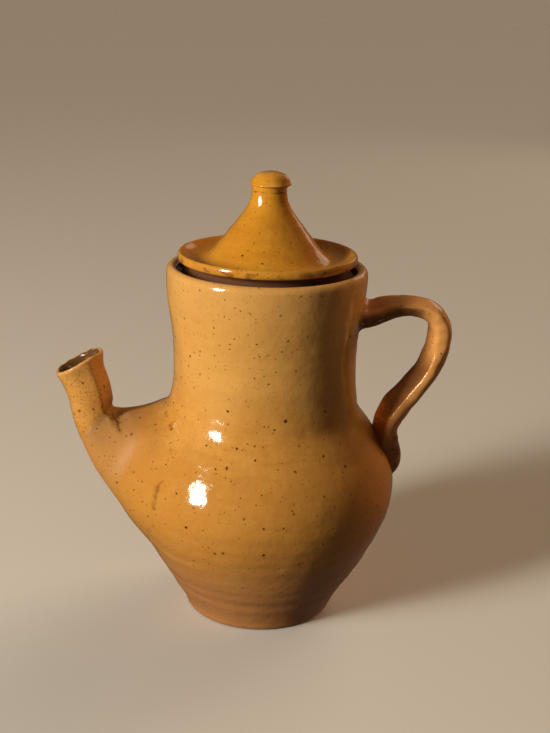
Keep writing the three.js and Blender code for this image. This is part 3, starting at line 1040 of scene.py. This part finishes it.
class Glaze:
    """A glaze in the making: its nodes, and the colour laid on so far."""

    def __init__(self, name, colour):
        self.material = bpy.data.materials.new(name)
        self.material.use_nodes = True
        self.tree = self.material.node_tree
        self.tree.nodes.clear()
        self.colour = colour
        self.place = self.add("ShaderNodeTexCoord").outputs["Object"]
        self.height = self.add("ShaderNodeSeparateXYZ", {0: self.place}).outputs["Z"]

    def add(self, kind, inputs=None, **settings):
        return node(self.tree, kind, inputs, **settings)

    def maths(self, operation, a, b):
        return self.add("ShaderNodeMath", {0: a, 1: b}, operation=operation).outputs[0]

    def times(self, a, b):
        return self.maths("MULTIPLY", a, b)

    def plus(self, a, b):
        return self.maths("ADD", a, b)

    def most(self, a, b):
        return self.maths("MAXIMUM", a, b)

    def ramped(self, value, low, high, start=0.0, end=1.0, ease="SMOOTHSTEP"):
        sockets = {"Value": value, "From Min": low, "From Max": high, "To Min": start, "To Max": end}
        return self.add("ShaderNodeMapRange", sockets, interpolation_type=ease).outputs[0]

    def vector(self, operation, a, b):
        return self.add("ShaderNodeVectorMath", {0: a, 1: b}, operation=operation).outputs[0]

    def mark(self, kind):
        return self.add("ShaderNodeAttribute", attribute_name=kind).outputs["Fac"]

    def cloud(self, size, detail=2.0, roughness=0.5, shift=0.0, place=None):
        """Soft noise whose patches are about size millimetres across."""
        place = self.vector("ADD", place or self.place, (shift, shift, shift))
        sockets = {"Vector": place, "Scale": 1000 / size, "Detail": detail, "Roughness": roughness}
        return self.add("ShaderNodeTexNoise", sockets).outputs["Fac"]

    def patches(self, size, low, high, share, detail=3.0, roughness=0.5, shift=0.0):
        """Clouds between two levels, up to a share."""
        return self.times(self.ramped(self.cloud(size, detail, roughness, shift), low, high), share)

    def lay_on(self, share, colour):
        made = self.add("ShaderNodeMix", {0: share, 6: self.colour, 7: colour}, data_type="RGBA")
        self.colour = made.outputs[2]


def lay_tones(glaze, tones):
    """Clouds of the tones, and streaks along the throwing lines."""
    for tone, *cloud in CLOUDS:
        glaze.lay_on(glaze.patches(*cloud), tones[tone])
    laid_flat = glaze.vector("MULTIPLY", glaze.place, (0.3, 0.3, 2.2))
    streaks = glaze.ramped(glaze.cloud(4.5, 4, 0.6, 14, laid_flat), 0.42, 0.7)
    glaze.lay_on(glaze.times(streaks, 0.45), tones["deep"])


def lay_horn(glaze):
    """Shade and mottling where the horn stands out; gives the share that is shaded."""
    from_wall = glaze.mark("from_wall")
    shaded = glaze.times(glaze.ramped(from_wall, 0, 16), glaze.ramped(from_wall, 34, 28))
    glaze.lay_on(glaze.times(shaded, 0.8), HORN_SHADE)
    mottle = glaze.patches(1.1, 0.5, 0.68, 0.42, 2, 0.6, 33)
    glaze.lay_on(glaze.times(mottle, glaze.ramped(from_wall, 4, 30)), HORN_MOTTLE)
    return shaded


def lay_worn_pooled_and_painted_shade(glaze, pool_and_shade_mark):
    """Glaze broken off the lips, and a dark tone in patches where there is little: glaze collected in the
    joins and on the flange's edge, and painted shade in the gap under the lid, under the cap and down the
    spout's fold.
    """
    glaze.lay_on(glaze.times(glaze.mark("worn"), glaze.patches(4, 0.3, 0.6, 0.6, 3, 0.6, 21)), WORN_LIP)
    breaks = glaze.ramped(glaze.cloud(6, 3, 0.6, 24), 0.35, 0.65, 1.0, 0.0)
    pool_and_shade_share = glaze.ramped(glaze.maths("SUBTRACT", glaze.times(pool_and_shade_mark, 2.0), breaks), 0.0, 1.0)
    glaze.lay_on(pool_and_shade_share, POOLED_AND_PAINTED_SHADE)


def speck_shares(glaze, place, spacing, largest, share, halo, shift):
    """Where specks of one size lie, and their halos."""
    moved = glaze.vector("ADD", place, (shift, -shift, shift))
    cells = glaze.add("ShaderNodeTexVoronoi", {"Vector": moved, "Scale": 1000 / spacing, "Randomness": 1.0})
    chance = glaze.add("ShaderNodeSeparateColor", {0: cells.outputs["Color"]}).outputs[0]
    present = glaze.ramped(chance, 1 - share - 0.001, 1 - share + 0.001)
    size = glaze.ramped(chance, 1 - share, 1.0, 0.35, 1.0, "LINEAR")
    out = glaze.maths("DIVIDE", cells.outputs["Distance"], glaze.times(size, largest / 2 / spacing))
    core = glaze.times(glaze.ramped(out, 1.15, 0.7), present)
    ring = glaze.times(glaze.ramped(out, 1 + halo, 0.6), present)
    return core, ring


def lay_specks(glaze, freckle):
    """Iron specks with rusty halos, crowded where the glaze is thick and few near the foot."""
    sockets = {"Vector": glaze.place, "Scale": 900.0, "Detail": 1.0}
    warp = glaze.add("ShaderNodeTexNoise", sockets).outputs["Color"]
    warp = glaze.vector("SUBTRACT", warp, (0.5, 0.5, 0.5))
    place = glaze.vector("ADD", glaze.place, glaze.vector("MULTIPLY", warp, (SPECK_WARP,) * 3))
    crowd = glaze.ramped(glaze.cloud(27, shift=3), 0.34, 0.56, 0.45, 1.0)
    crowd = glaze.times(crowd, glaze.ramped(glaze.height, 0.015, 0.07, 0.55, 1.0))
    for spacing, largest, share, halo, shift, dark in SPECKS:
        core, ring = speck_shares(glaze, place, spacing, largest, share * freckle, halo, shift)
        glaze.lay_on(glaze.times(glaze.times(ring, crowd), 0.5 * dark), RUST)
        glaze.lay_on(glaze.times(glaze.times(core, crowd), dark), IRON)


def lay_inner_painted_shade_and_bare(glaze, pool_and_shade_mark, bare_inside):
    """Dark tone or bare clay on the inner marks, and bare clay under the foot; gives the share that is bare.
    The dark tone darkens the inside of the pot and is painted shade in the spout's bore and on the handle.
    """
    inner = glaze.mark("inner")
    bare = glaze.ramped(glaze.height, 0.0009, 0.0003)
    if bare_inside:
        bare = glaze.most(bare, glaze.times(inner, 0.999))
    else:
        # darker inside the pot, painted shade in the spout's bore and on the handle
        glaze.lay_on(glaze.times(inner, 0.9), DARK_INSIDE_AND_PAINTED_SHADE)
    glaze.lay_on(glaze.times(bare, glaze.maths("SUBTRACT", 1.0, pool_and_shade_mark)), BARE_CLAY)
    return bare


def fire(glaze, dull, bare, peel_share):
    """Finishes the glaze: gloss by how dull it is, with a slow ripple and an orange-peel surface."""
    gloss = glaze.plus(glaze.ramped(dull, 0.0, 1.0, 0.1, 0.94), glaze.patches(9, 0.4, 0.8, 0.06, 3, 0.6, 27))
    peel = glaze.times(glaze.cloud(1.5, 2, 0.6, 6), peel_share)
    surface = glaze.plus(glaze.cloud(9, shift=4), peel)
    bump = glaze.add("ShaderNodeBump", {"Strength": 1.0, "Distance": 0.0004, "Height": surface}).outputs[0]
    roughness = glaze.most(gloss, glaze.times(bare, 0.85))
    sockets = {"Base Color": glaze.colour, "Roughness": roughness, "Normal": bump, "IOR": 1.52}
    shader = glaze.add("ShaderNodeBsdfPrincipled", sockets)
    glaze.add("ShaderNodeOutputMaterial", {"Surface": shader.outputs[0]})
    return glaze.material


def mix_glaze(name, tones, freckle=1.0, strap=False, horn=False, bare_inside=False):
    glaze = Glaze(name, tones["light"])
    lay_tones(glaze, tones)
    # thin, duller glaze towards the foot, that lets the pink clay through
    low_down = glaze.plus(glaze.height, glaze.times(glaze.cloud(30, shift=12), 0.03))
    thin = glaze.ramped(low_down, 0.085, 0.03)
    glaze.lay_on(glaze.times(thin, 0.8), THIN_OVER_CLAY)
    dull = glaze.times(thin, 0.3)
    # thicker and paler up the neck
    glaze.lay_on(glaze.ramped(low_down, 0.115, 0.15, 0.0, 0.55 if horn else 0.12), tones["pale"])
    if horn:
        dull = glaze.most(dull, glaze.times(lay_horn(glaze), 0.85))
    # a little darker over the belly
    belly = glaze.times(glaze.ramped(low_down, 0.05, 0.075), glaze.ramped(low_down, 0.12, 0.1))
    glaze.lay_on(glaze.times(belly, 0.6), tones["deep"])
    pool_and_shade_mark = glaze.mark("pool_and_shade_mark")
    lay_worn_pooled_and_painted_shade(glaze, pool_and_shade_mark)
    lay_specks(glaze, freckle)
    if strap:
        glaze.lay_on(glaze.times(glaze.ramped(glaze.mark("from_wall"), 24, 4), 0.5), STRAP_BROWN)
    bare = lay_inner_painted_shade_and_bare(glaze, pool_and_shade_mark, bare_inside)
    return fire(glaze, dull, bare, 0.24 if strap else 0.13)


honey = mix_glaze("honey_glaze", HONEY, horn=True)
brown = mix_glaze("brown_glaze", STRAP, freckle=0.7, strap=True)
ochre = mix_glaze("ochre_glaze", OCHRE, freckle=0.6, bare_inside=True)

for piece, finish, slot, body, part in (
    (pot, honey, "honey_glaze", "pot", "pot_body"),
    (spout, honey, "honey_glaze", "pot", "spout"),
    (strap, brown, "brown_glaze", "pot", "handle"),
    (lid, ochre, "ochre_glaze", "lid", "lid"),
    (knob, ochre, "ochre_glaze", "lid", "lid_knob"),
):
    piece.data.materials.clear()
    piece.data.materials.append(finish)
    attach(piece, body)
    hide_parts(part)


# Floor, just under the foot
FLOOR_COLOUR = (0.62, 0.59, 0.53, 1)

nothing_selected()
bpy.ops.mesh.primitive_circle_add(vertices=96, radius=40, fill_type="NGON", location=(0, 0, -0.0001))
floor = bpy.context.object
floor.name = "studio_floor"
floor_finish = bpy.data.materials.new("pale_floor")
floor_finish.use_nodes = True
floor_shader = floor_finish.node_tree.nodes["Principled BSDF"]
floor_shader.inputs["Base Color"].default_value = FLOOR_COLOUR
floor_shader.inputs["Roughness"].default_value = 0.85
floor.data.materials.append(floor_finish)
# the floor is seen, but doesn't brighten the pot from below
floor.visible_diffuse = False
floor.visible_glossy = False

# Light: metres, watts and degrees; each comes from the way that is given
AIM = Vector((0, 0, 0.11))
KEY_WAY = (-0.775, -0.565, 0.31)
KEY_COLOUR = (1, 0.94, 0.84)
ROOM_COLOUR = (1, 0.74, 0.5, 1)
ROOM_STRENGTH = 0.08
# what the camera sees past the floor's edge, as bright as the far floor
BACKDROP = (0.281, 0.208, 0.141, 1)


def light_holder(name, data):
    holder = bpy.data.objects.new(name, data)
    bpy.context.scene.collection.objects.link(holder)
    return holder


def lamp(name, towards, distance, width, height, power, colour):
    data = bpy.data.lights.new(name, "AREA")
    data.shape = "RECTANGLE"
    data.size = width
    data.size_y = height
    data.energy = power
    data.color = colour
    holder = light_holder(name, data)
    way = Vector(towards).normalized()
    holder.location = AIM + way * distance
    holder.rotation_euler = way.to_track_quat("Z", "Y").to_euler()


def sun(name, towards, strength, spread, colour, glossy=True):
    data = bpy.data.lights.new(name, "SUN")
    data.energy = strength
    data.angle = math.radians(spread)
    data.color = colour
    holder = light_holder(name, data)
    holder.rotation_euler = Vector(towards).to_track_quat("Z", "Y").to_euler()
    holder.visible_glossy = glossy


lamp("key_light", KEY_WAY, 1.4, 0.32, 0.65, 19.5, KEY_COLOUR)
sun("low_sun", KEY_WAY, 1.3, 10, KEY_COLOUR)
sun("soft_top", (0.57, 0.82, 0.7), 0.9, 40, (1, 0.84, 0.62), glossy=False)
sun("warm_fill", (0.8, 0.6, 0.26), 1.3, 32, (1, 0.5, 0.26), glossy=False)
lamp("back_light", (0.5, 0.85, 0.38), 2.2, 0.8, 0.8, 1.8, (1, 0.84, 0.66))

world = bpy.data.worlds.new("studio")
world.use_nodes = True
room = world.node_tree.nodes["Background"]
room.inputs["Color"].default_value = ROOM_COLOUR
room.inputs["Strength"].default_value = ROOM_STRENGTH
backdrop = node(world.node_tree, "ShaderNodeBackground", {"Color": BACKDROP, "Strength": 1.0})
seen = node(world.node_tree, "ShaderNodeLightPath").outputs["Is Camera Ray"]
both = node(world.node_tree, "ShaderNodeMixShader", {0: seen, 1: room.outputs[0], 2: backdrop.outputs[0]})
world.node_tree.links.new(both.outputs[0], world.node_tree.nodes["World Output"].inputs[0])
bpy.context.scene.world = world
bpy.context.scene.view_settings.view_transform = "Standard"
